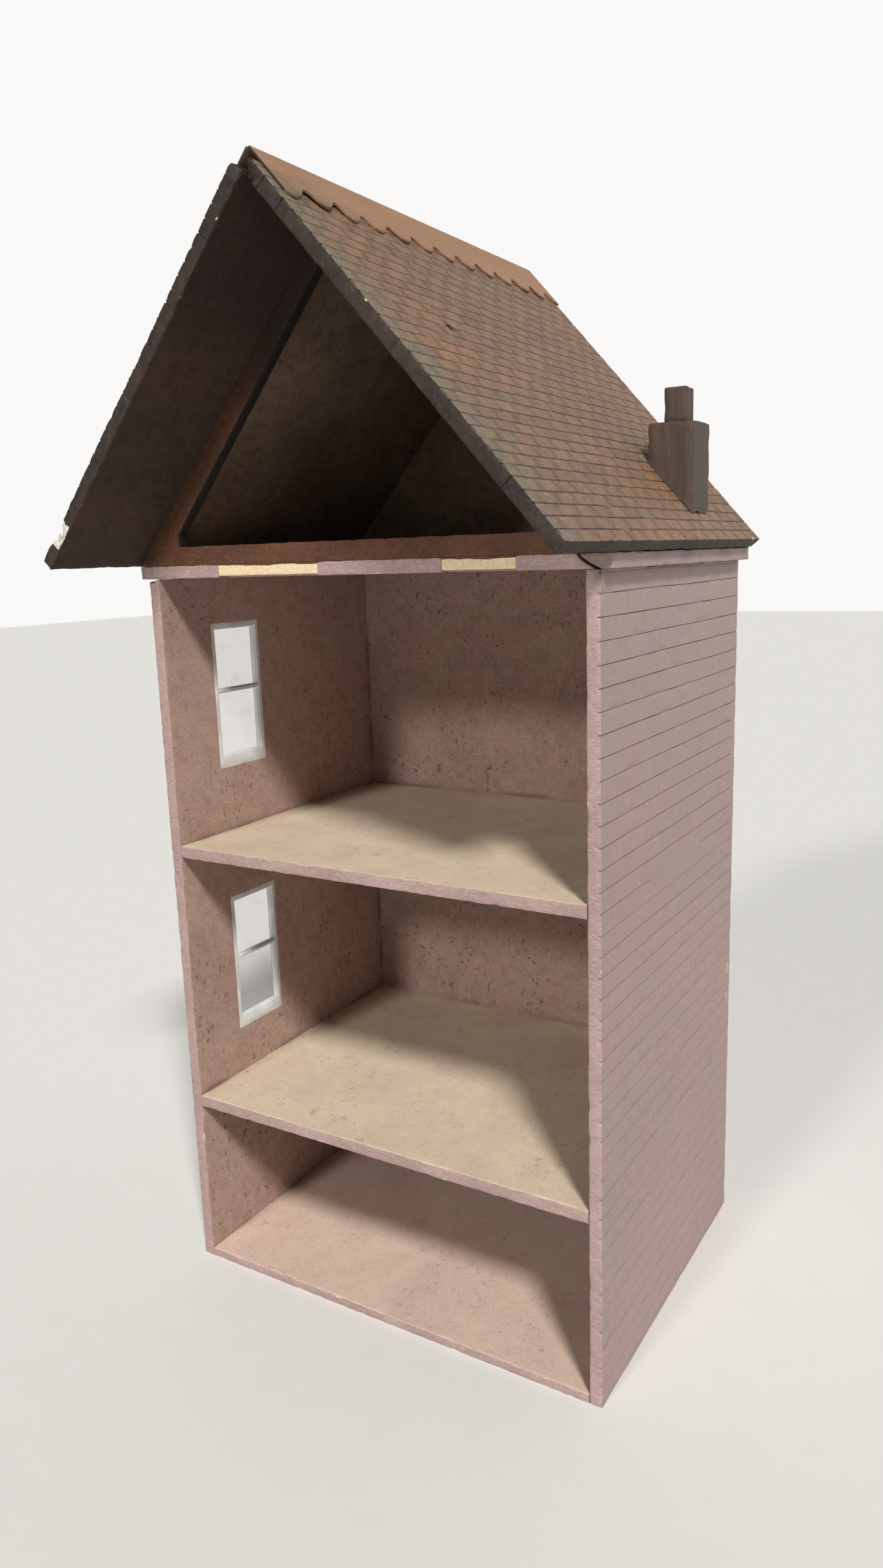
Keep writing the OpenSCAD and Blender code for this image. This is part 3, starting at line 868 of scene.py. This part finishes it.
def roof_base(paints):
    """The board under the roof, notched for the gable tabs, with its split front right corner."""
    low, high = base_low, base_high
    cuts = []
    for tab in GABLE_TABS:
        for start, end in ((low[1] - 1, low[1] + board), (high[1] - board, high[1] + 1)):
            cuts.append(((tab[0] - TAB_GAP, start, low[2] - 1), (tab[1] + TAB_GAP, end, high[2] + 1)))
    crack_x, crack_deep, bend = 108, 2.2, 9.5
    middle = (crack_x + outer_x) / 2
    near = [middle + d for d in (-1.6, -1.2, -0.8, -0.4, 0, 0.4, 0.8, 1.2, 1.6)]
    xs = lines(low[0], high[0], 4, cut_lines(cuts, 0) + near, [(middle - bend, high[0], 1)])
    ys = lines(low[1], high[1], 5, cut_lines(cuts, 1), [(low[1], low[1] + 3, 0.75)])
    zs = lines(low[2], high[2], 0.4)
    bm = block(xs, ys, zs, cuts)
    soften(bm, 0.35, on_outline(low, high))
    points = points_of(bm)
    edges = chamfered(bm)
    offset = points[:, 0] - middle
    share = np.clip((high[2] - points[:, 2]) / board, 0, 1)
    ahead = np.clip(1 - (points[:, 1] - low[1]) / 2.5, 0, 1)
    points = worn(points, low, high, 0.2, 41)
    # The split runs from the top of the front face down and out to the wall's outer corner
    curve = crack_x + (outer_x - crack_x) * share ** 1.6
    points[:, 0] += (curve - middle) * np.clip(1 - np.abs(offset) / bend, 0, 1) * ahead
    depth = np.exp(-(offset / (0.45 + 0.7 * share)) ** 4) * ahead
    points[:, 1] += crack_deep * depth
    place(bm, points)
    # Painted shadow of the right roof board's overhanging corner, to the right of the crack.
    roof_corner_shadow = np.exp(-np.clip(offset, 0, 99) / 2.5) * (offset > 0) * ahead * 0.25
    right_edge = points[:, 0] > high[0] - 0.6
    scuff = np.clip(ripple(points * [1, 1, 3], 14, 43), 0, 1)
    smear = right_edge * np.clip((points[:, 2] - low[2]) / board, 0, 1) * np.clip(ripple(points * [1, 1, 2], 20, 44), 0, 1)
    bare = edges * np.clip(ripple(points, 8, 42) - 0.9, 0, 1) + np.where(right_edge, scuff * 0.25, 0)
    # The crack is darkened as painted shade. The painted shadow lies beside it, and brown smears run along the right
    # edge.
    crack_shade_and_smear = np.maximum(np.clip(depth * 2.5, 0, 1), np.maximum(roof_corner_shadow, smear * 0.7))
    piece("roof_base_board", bm, [paints["siding"], paints["edge"], paints["deck"]], "roof", "roof_base",
          {"dirt_and_shade": crack_shade_and_smear, "bare": bare},
          lambda normal, middle: 1 if normal[1] < -0.4 else (2 if normal[2] > 0.7 else 0))


def ring_plate(outer, inner, y_low, y_high, step=4, across=3):
    """An upright plate between two outlines with matching corners, given as (x, z) going round.
    An inner outline that is one point over and over closes the plate."""
    closed = np.ptp(np.array(inner), 0).max() < 1e-6
    around = []
    for (a, b), (c, d) in zip(zip(outer, outer[1:] + outer[:1]), zip(inner, inner[1:] + inner[:1])):
        a, b, c, d = (np.array(p, float) for p in (a, b, c, d))
        length = np.linalg.norm(b - a)
        stations = sorted({0.0, *[t for t in (0.8 / length, 1 - 0.8 / length) if length > 4],
                           *[i / max(1, round(length / step)) for i in range(max(1, round(length / step)))]})
        around += [(a + (b - a) * t, c + (d - c) * t) for t in stations if t < 1]
    shares = [0, *[(k + 0.5) / (across + 1) for k in range(across + 1)], 1]
    ys = lines(y_low, y_high, 2)
    bm = bmesh.new()
    grid = [[[None] * len(ys) for _ in shares] for _ in around]
    centre = {}
    for i, (out, inn) in enumerate(around):
        for j, share in enumerate(shares):
            spot = out + (inn - out) * share
            for k, y in enumerate(ys):
                inside = 0 < k < len(ys) - 1
                if inside and 0 < j < len(shares) - 1:
                    continue
                if closed and j == len(shares) - 1:
                    if inside:
                        continue
                    if k not in centre:
                        centre[k] = bm.verts.new((spot[0], y, spot[1]))
                    grid[i][j][k] = centre[k]
                    continue
                grid[i][j][k] = bm.verts.new((spot[0], y, spot[1]))

    def face(*corners):
        ring = []
        for corner in corners:
            if corner not in ring:
                ring.append(corner)
        if len(ring) > 2:
            bm.faces.new(ring)

    for i in range(len(around)):
        n = (i + 1) % len(around)
        for j in range(len(shares) - 1):
            for k in (0, len(ys) - 1):
                face(grid[i][j][k], grid[n][j][k], grid[n][j + 1][k], grid[i][j + 1][k])
        for k in range(len(ys) - 1):
            face(grid[i][0][k], grid[n][0][k], grid[n][0][k + 1], grid[i][0][k + 1])
            if not closed:
                face(grid[i][-1][k], grid[n][-1][k], grid[n][-1][k + 1], grid[i][-1][k + 1])
    bmesh.ops.recalc_face_normals(bm, faces=bm.faces)
    bm.normal_update()
    return bm


def join_into(bm, other):
    """Adds another mesh to bm and frees it."""
    mesh = bpy.data.meshes.new("part")
    other.to_mesh(mesh)
    other.free()
    bm.from_mesh(mesh)
    bpy.data.meshes.remove(mesh)
    bm.verts.index_update()
    bm.verts.ensure_lookup_table()
    bm.normal_update()


def gable(name, y_low, opening, paints, seed):
    """A gable board with its two bare tabs, open in front and closed at the back."""
    foot = deck_z + (eave_half - base_half) * math.tan(PITCH)
    outer = [(-base_half, deck_z), (base_half, deck_z), (base_half, foot), (0, apex_z), (-base_half, foot)]
    rail, half_open, upright, peak = 8.6, 96, 6, 127
    if opening:
        inner = [(-half_open, deck_z + rail), (half_open, deck_z + rail), (half_open, deck_z + rail + upright),
                 (0, deck_z + peak), (-half_open, deck_z + rail + upright)]
    else:
        inner = [(0, deck_z + 50)] * 5
    bm = ring_plate(outer, inner, y_low, y_low + board, across=2 if opening else 6)
    soften(bm, 0.3)
    points = points_of(bm)
    edges = chamfered(bm)
    inside = points[:, 2] > deck_z + 0.5
    wobble = 0.14 * ripple(points, 7, seed)
    points[:, 2] += np.where(inside & (points[:, 2] < apex_z - 2), wobble * edges, 0)
    points[:, 1] += 0.1 * edges * ripple(points, 5, seed + 1) * np.where(points[:, 1] < y_low + 3, 1, -1)
    points[:, 1] = np.clip(points[:, 1], y_low, y_low + board)
    place(bm, points)
    tab_bottom = deck_z - board + 0.8
    for tab in GABLE_TABS:
        low, high = (tab[0], y_low, tab_bottom), (tab[1], y_low + board, deck_z)
        part = block(lines(low[0], high[0], 1.5), lines(low[1], high[1], 1.5), lines(low[2], high[2], 1))
        soften(part, 0.3, lambda m: m[2] < deck_z - 0.3)
        moved = points_of(part)
        below = moved[:, 2] < deck_z - 0.2
        shift = 0.07 * ripple(moved, 3, seed + 2)
        moved[:, 1] += np.where(below & (np.abs(moved[:, 1] - y_low) < 0.1), np.abs(shift), 0)
        moved[:, 2] += np.where(moved[:, 2] < tab_bottom + 0.1, np.abs(shift), 0)
        place(part, moved)
        join_into(bm, part)
    # The opening's cut edges take the near-black paint: partly burnt edge, partly painted shade.
    face_paints = [paints["gable"], paints["cut_edge_burnt_and_shaded"] if opening else paints["attic"]]

    def paint(normal, middle):
        if opening:
            return 1 if abs(normal[1]) < 0.5 and middle[2] > deck_z else 0
        return 1 if normal[1] < -0.5 else 0

    piece(name + "_board", bm, face_paints, "roof", name, None, paint)


def tile_grid():
    """Middles of the scored rows and joints: rows by s, joints by y."""
    rows = [slope_len - row * TILE_ROW for row in range(1, math.floor((slope_len - TILE_LINE) / TILE_ROW) + 1)]
    count = math.floor((panel_high[1] - roof_front_y) / (TILE_WIDTH / 2))
    joints = [roof_front_y + i * TILE_WIDTH / 2 for i in range(1, count + 1)]
    return rows, [j for j in joints if j < panel_high[1] - 1]


# Places along the slope where a row's line runs on over the boards' front edges
EDGE_NICKS = {1: (30, 28, 5), -1: (27, 22, 15, 9)}
NAIL_HOLE = ((73.5, 76.5), (front_y - 0.1, front_y + 2.9))
SCRATCH = ((77, 100), front_y + 1.9, 0.32, 0.9)


def roof_panel(side, paints):
    """A roof board with scored rows of half-lapped tiles, nicked edges and a torn upper corner."""
    name = "right_roof_panel" if side > 0 else "left_roof_panel"
    random = np.random.default_rng(61 if side > 0 else 62)
    rows, joints = tile_grid()
    row_half, joint_half = TILE_LINE / 2, TILE_JOINT / 2
    low = np.array([0, roof_front_y, 0])
    high = np.array([slope_len, panel_high[1], board])
    s_fine = [(0, 12, 1.0), (slope_len - 22, slope_len - 6, 1.1)] if side < 0 else [(0, 12, 1.0)]
    y_fine = [(low[1], low[1] + 4, 0.8), (high[1] - 1, high[1], 1)]
    s_keep = [r + d for r in rows for d in (-row_half, 0, row_half)]
    y_keep = [j + d for j in joints for d in (-joint_half, 0, joint_half)]
    cuts = []
    if side > 0:
        s_keep += [*NAIL_HOLE[0], *SCRATCH[0]]
        y_fine.append((*NAIL_HOLE[1], 0.6))
        y_keep += [*NAIL_HOLE[1], *(SCRATCH[1] + d * SCRATCH[2] for d in (-1, 0, 1))]
        cuts.append(((NAIL_HOLE[0][0], NAIL_HOLE[1][0], 2), (NAIL_HOLE[0][1], NAIL_HOLE[1][1], board + 1)))
    bm = block(lines(low[0], high[0], 3, s_keep, s_fine), lines(low[1], high[1], 4, y_keep, y_fine),
               lines(low[2], high[2], 1.2, [2] if side > 0 else []), cuts)
    soften(bm, 0.35, on_outline(low, high))
    points = points_of(bm)
    edges = chamfered(bm)
    start = points.copy()
    s, y, h = start.T
    top = h > board - 0.45
    # Which tile a point is in: rows count up from the eave, and every second row is shifted by half a tile
    row = np.clip(np.floor((slope_len - s) / TILE_ROW + 1e-6), 0, len(rows)).astype(int)
    shifted = (row % 2 == 1) * TILE_WIDTH / 2
    column = np.floor((y - roof_front_y + shifted) / TILE_WIDTH + 1e-6).astype(int)
    tints = random.uniform(0, 1, (len(rows) + 2, 40))
    lifts = random.uniform(-0.04, 0.03, (len(rows) + 2, 40))
    gaps = np.where(random.uniform(size=(len(rows) + 2, 40)) < 0.12, 0.25, 1.0)
    drift = random.uniform(-0.18, 0.18, (len(rows) + 2, 40))
    # Score lines
    row_of_line = np.abs(s[:, None] - np.array(rows)[None]).argmin(1)
    to_row = np.abs(s - np.array(rows)[row_of_line])
    at_row = (to_row < 0.02) & top
    breaks = np.clip(1.15 + 0.6 * ripple(np.stack([row_of_line * 37.0, y, h * 0], 1), 16, 63), 0.15, 1.1)
    row_depth = np.where(at_row, TILE_CUT * breaks, 0)
    joint_of_line = np.abs(y[:, None] - np.array(joints)[None]).argmin(1)
    to_joint = y - np.array(joints)[joint_of_line]
    turn = (joint_of_line + 1) % 2 == row % 2
    lower_row = np.clip(row, 0, len(rows))
    strength = gaps[lower_row, joint_of_line + 1] * (0.75 + 0.25 * ripple(points, 9, 64))
    at_joint = (np.abs(to_joint) < 0.02) & turn & top & (to_row > 0.1)
    joint_depth = np.where(at_joint, TILE_CUT * 0.8 * np.clip(strength, 0, 1), 0)
    depth = np.maximum(row_depth, joint_depth)
    lift = np.where(top & (to_row > 0.02) & ~at_joint, lifts[row, column], 0)
    near_joint = (np.abs(to_joint) < joint_half + 0.02) & turn & top
    points[:, 1] += np.where(near_joint & (edges < 0.5), drift[lower_row, joint_of_line + 1], 0)
    wander = 0.16 * ripple(np.stack([row_of_line * 53.0, y, h * 0], 1), 45, 65)
    points[:, 0] += np.where((to_row < row_half + 0.02) & top, wander, 0)
    if side < 0:
        points[:, 0] += np.where(at_row, 0.22, 0)
    points[:, 2] += np.where(top, lift - depth, 0)
    # Each line bites a little into the front and rear faces
    ends = at_row & (edges > 0.5)
    points[:, 1] += np.where(ends, np.where(y < 0, 0.25, -0.25), 0)
    nicked = np.isin(row_of_line + 1, EDGE_NICKS[side]) & (to_row < 0.02) & (y < roof_front_y + 0.6)
    points[:, 1] += np.where(nicked, 0.45, 0)
    points = worn(points, low, high, 0.22, 66 + side, size=5)
    bare = edges * np.clip(ripple(points, 4, 67 + side) - 1.0, 0, 1)
    bare = np.maximum(bare, np.where(nicked & (np.abs(ripple(points, 4, 68)) > 0.4), 0.45, 0))
    points, bare = roof_damage(points, bare, side)
    dirt_and_shade = np.clip(depth / TILE_CUT * 2.2, 0, 1)
    dirt_and_shade = np.maximum(dirt_and_shade, np.where(near_joint & (edges < 0.5), 0.35, 0))
    if side > 0:
        points, dirt_and_shade = nail_hole(points, dirt_and_shade, start)
    else:
        dirt_and_shade = np.maximum(dirt_and_shade, np.where((to_row < row_half + 0.02) & top, 0.3, 0))
    weathered = np.clip(1.25 - (y - roof_front_y) / 17 + 0.35 * ripple(points, 12, 69), 0, 1)
    weathered = np.maximum(weathered, np.where(tints[row, column] < 0.06, 0.4, 0))
    tint = tints[row, column]
    place(bm, points)
    tiles, edge, under, attic = paints["tiles"], paints["roof_edge"], paints["roof_under"], paints["attic"]

    def paint(normal, middle):
        if normal[2] > 0.86:
            return 0
        if normal[2] < -0.7:
            return 3 if middle[1] > front_y + board else 2
        return 1

    flat = top & (edges < 0.5)
    for face in bm.faces:
        scored_top = all(flat[v.index] for v in face.verts)
        face.material_index = 0 if scored_top else paint(face.normal, face.calc_center_median())
    place(bm, on_slope(points_of(bm), side))
    piece(name + "_tiles", bm, [tiles, edge, under, attic], "roof", name,
          {"dirt_and_shade": dirt_and_shade, "bare": bare, "tint": tint, "weathered": weathered})


def roof_damage(points, bare, side):
    """Torn and chipped places: the upper front corner of both boards, and a notch near the left eave."""
    s, y, h = points.T.copy()
    rough = ripple(points, 2.2, 71 + side)
    tear_s, tear_deep = (7.5, 3.2) if side > 0 else (4, 1.5)
    inner = np.clip(1.2 - h / (board * 0.6), 0, 1) if side > 0 else np.clip(1 - h / board, 0, 1)
    pull = tear_deep * np.clip(1 - (s / tear_s) ** 2, 0, 1) * inner * np.clip(1 + 0.5 * rough, 0.3, 1.6)
    points[:, 1] += pull * np.clip(1 - (y - roof_front_y) / 6, 0, 1)
    torn = (y < roof_front_y + 1.5) & (pull > 0.25)
    bare = np.maximum(bare, np.where(torn & (rough > 0.1), 0.34, 0))
    if side < 0:
        middle, reach, deep = slope_len - 17, 7.5, 3.4
        share = np.clip(1 - np.abs(s - middle) / reach, 0, 1)
        share *= np.clip(1.1 - (y - roof_front_y) / 6, 0, 1)
        dip = deep * share * np.clip(1 + 0.3 * rough, 0.5, 1.4)
        points[:, 2] *= 1 - dip / board
        bare = np.maximum(bare, np.where((dip > 0.5) & (h > 0.6), 1, 0))
        inner_edge = (h < 0.6) & (y < roof_front_y + 0.6) & (s < 24)
        bare = np.maximum(bare, np.where(inner_edge, 0.22 + 0.25 * rough, 0))
    return points, bare


def nail_hole(points, dirt_and_shade, start):
    """Rounds the nail hole in the right slope, and cuts the scratch that runs down the tiles from it.
    start holds where the points were before any of the other changes."""
    middle = np.array([sum(a) / 2 for a in NAIL_HOLE])
    half = np.array([(a[1] - a[0]) / 2 for a in NAIL_HOLE])
    u, v = ((start[:, :2] - middle) / half).T
    inside = (np.maximum(np.abs(u), np.abs(v)) < 1.01) & (start[:, 2] > 1.9)
    round_u, round_v = u * np.sqrt(np.clip(1 - v * v / 2, 0, 1)), v * np.sqrt(np.clip(1 - u * u / 2, 0, 1))
    points[:, 0] = np.where(inside, middle[0] + half[0] * round_u, points[:, 0])
    points[:, 1] = np.where(inside, middle[1] + half[1] * round_v, points[:, 1])
    (first, last), centre, width, slant = SCRATCH
    along = (start[:, 0] > first - 0.1) & (start[:, 0] < last + 0.1) & (start[:, 2] > board - 0.1)
    across = np.abs(start[:, 1] - centre)
    share = (start[:, 0] - first) / (last - first)
    points[:, 1] += np.where(along & (across < width + 0.02), slant * share, 0)
    deep = along & (across < 0.02)
    points[:, 2] -= np.where(deep, 0.5, 0)
    return points, np.maximum(dirt_and_shade, np.maximum(inside, np.where(deep, 1, 0)))


def ridge_strip(side, paints):
    """A thin strip along the ridge with a wavy lower edge that lifts a little here and there."""
    name = "right_ridge_strip" if side > 0 else "left_ridge_strip"
    reach, wave_high, wave_len, setback = 23, 3.4, 18.6, 5
    start = roof_front_y + setback
    length = panel_high[1] - start
    shares = lines(0, 1, 0.12, (), [(0.9, 1, 0.03)])
    bm = block(shares, lines(start, start + length, 1.1), lines(0, 1, 0.5))
    points = points_of(bm)
    u, y, t = points.T.copy()
    phase = (y - start) / wave_len
    cusp = np.sin(TURN * phase) + 0.18 * np.sin(2 * TURN * phase + 0.6)
    wave = reach + wave_high * np.clip(cusp, -1, 1) + 0.25 * ripple(points * [0, 1, 0], 25, 81 + side)
    wave = np.minimum(wave, reach + wave_high)
    s = -ridge_run + u * wave
    lifted = u ** 5 * np.clip(0.25 + 0.55 * ripple(points * [0, 1, 0], 30, 83 + side), 0, 0.8)
    h = board + t * strip_t + lifted
    place(bm, np.stack([s, y, h], 1))
    bmesh.ops.recalc_face_normals(bm, faces=bm.faces)
    bm.normal_update()
    soften(bm, 0.14, sharp=0.9)
    points = points_of(bm)
    edges = chamfered(bm)
    s, y, h = points.T.copy()
    weathered = np.clip((s - 3) / 14, 0, 1) * np.clip(1.35 - (y - start) / 45, 0, 1)
    weathered = np.clip(weathered + 0.25 * ripple(points, 15, 85), 0, 1) * np.clip(1.6 - (y - start) / 60, 0, 1)
    bare = edges * np.clip(ripple(points, 4, 87) - 1.2, 0, 1)
    # Painted shade on the strip's edges along its wavy lower edge, where it lifts off the tiles.
    under_edge_shade = edges * (s > reach - wave_high - 2) * 0.7
    place(bm, on_slope(points, side))
    piece(name + "_scallops", bm, [paints["ridge"], paints["roof_edge"]], "roof", name,
          {"weathered": weathered, "bare": bare, "dirt_and_shade": under_edge_shade}, lambda normal, middle: 1 if normal[1] < -0.6 and middle[1] < start + 0.5 else 0)


def worn_block(low, high, width, amount, seed, bottom=None):
    """A block of wood with rounded, uneven edges. bottom(x) gives the height of its cut foot."""
    bm = block(lines(low[0], high[0], 1.6), lines(low[1], high[1], 1.6), lines(low[2], high[2], 1.6))
    soften(bm, width, on_outline(low, high))
    points = worn(points_of(bm), low, high, amount, seed, size=7)
    grain = 0.06 * ripple(points * [1, 1, 0.06], 2.6, seed + 1)
    faces = (np.abs(points[:, 0] - low[0]) < 0.3) | (np.abs(points[:, 0] - high[0]) < 0.3)
    points[:, 0] -= np.where(faces, np.sign(points[:, 0] - (low[0] + high[0]) / 2) * np.abs(grain), 0)
    faces = (np.abs(points[:, 1] - low[1]) < 0.3) | (np.abs(points[:, 1] - high[1]) < 0.3)
    points[:, 1] -= np.where(faces, np.sign(points[:, 1] - (low[1] + high[1]) / 2) * np.abs(grain), 0)
    if bottom:
        foot = bottom(points[:, 0])
        share = (points[:, 2] - low[2]) / (high[2] - low[2])
        points[:, 2] = foot + (high[2] - foot) * share
    place(bm, points)
    return bm, points


def chimney(paints):
    """The stack, its foot cut to the slope, and the small square pot on it."""
    low, high = span("chimney_stack")

    def roof_surface(x):
        return apex_z - x * math.tan(PITCH) + board / math.cos(PITCH)

    bm, points = worn_block(low, high, 0.5, 0.3, 91, roof_surface)
    bare = chamfered(bm) * np.clip(ripple(points, 4, 93) - 1.2, 0, 1)
    piece("chimney_stack_block", bm, [paints["chimney"]], "roof", "chimney_stack", {"bare": bare})
    low, high = span("chimney_pot")
    bm, points = worn_block(low, high, 0.6, 0.3, 95)
    foot = np.clip(1 - (points[:, 2] - low[2]) / 0.7, 0, 1)
    middle = (low + high) / 2
    points[:, :2] -= (points[:, :2] - middle[:2]) * 0.03 * foot[:, None]
    place(bm, points)
    piece("chimney_pot_block", bm, [paints["chimney"]], "roof", "chimney_pot",
          {"bare": chamfered(bm) * np.clip(ripple(points, 4, 97) - 1.3, 0, 1)})


# ---------------------------------------------------------------- the house

make_camera()
make_stage()
paints = {
    "siding": siding_paint(),
    "edge": edge_paint(),
    "room_wall": room_paint("room_wall_paint", srgb(176, 149, 135), srgb(177, 144, 133), srgb(148, 118, 108), 0.8, 0.12),
    "shelf": room_paint("shelf_paint", srgb(214, 199, 174), srgb(207, 188, 168), srgb(196, 176, 152), 0.35, 0.3),
    "ground": room_paint("ground_paint", srgb(214, 190, 174), srgb(210, 183, 168), srgb(196, 168, 154), 0.35, 0.3),
    "deck": room_paint("deck_paint", srgb(150, 130, 114), srgb(160, 136, 118), srgb(120, 100, 88), 0.6, 0.2),
    "gable": gable_paint(),
    "attic": stained_board("attic_board", srgb(142, 120, 100), srgb(114, 94, 78), (1, 1, 1)),
    "roof_under": stained_board("roof_underside", srgb(72, 52, 42), srgb(52, 39, 33), (1, 3, 1)),
    "roof_edge": stained_board("roof_edge_paint", srgb(62, 47, 38), srgb(36, 27, 22), (1, 1, 1), 1.6),
    # Near-black cut edges of the front gable's opening: burnt dark, and darker still as painted shade.
    "cut_edge_burnt_and_shaded": stained_board("gable_cut_edge_burnt_and_shaded", srgb(44, 31, 25), srgb(28, 20, 17), (1, 1, 1)),
    "tiles": tile_paint(),
    "ridge": ridge_paint(),
    "chimney": chimney_wood(),
    "window": window_paint(),
    "clear": clear_sheet(),
}
side_wall(1, paints)
side_wall(-1, paints)
back_wall(paints)
storey_board("base_floor", paints["ground"], paints, 51)
storey_board("lower_shelf", paints["shelf"], paints, 53)
storey_board("upper_shelf", paints["shelf"], paints, 55)
window("middle", paints)
window("upper", paints)
roof_base(paints)
gable("front_gable", front_y, True, paints, 101)
gable("back_gable", room_back_y, False, paints, 105)
for side in (1, -1):
    roof_panel(side, paints)
    ridge_strip(side, paints)
chimney(paints)
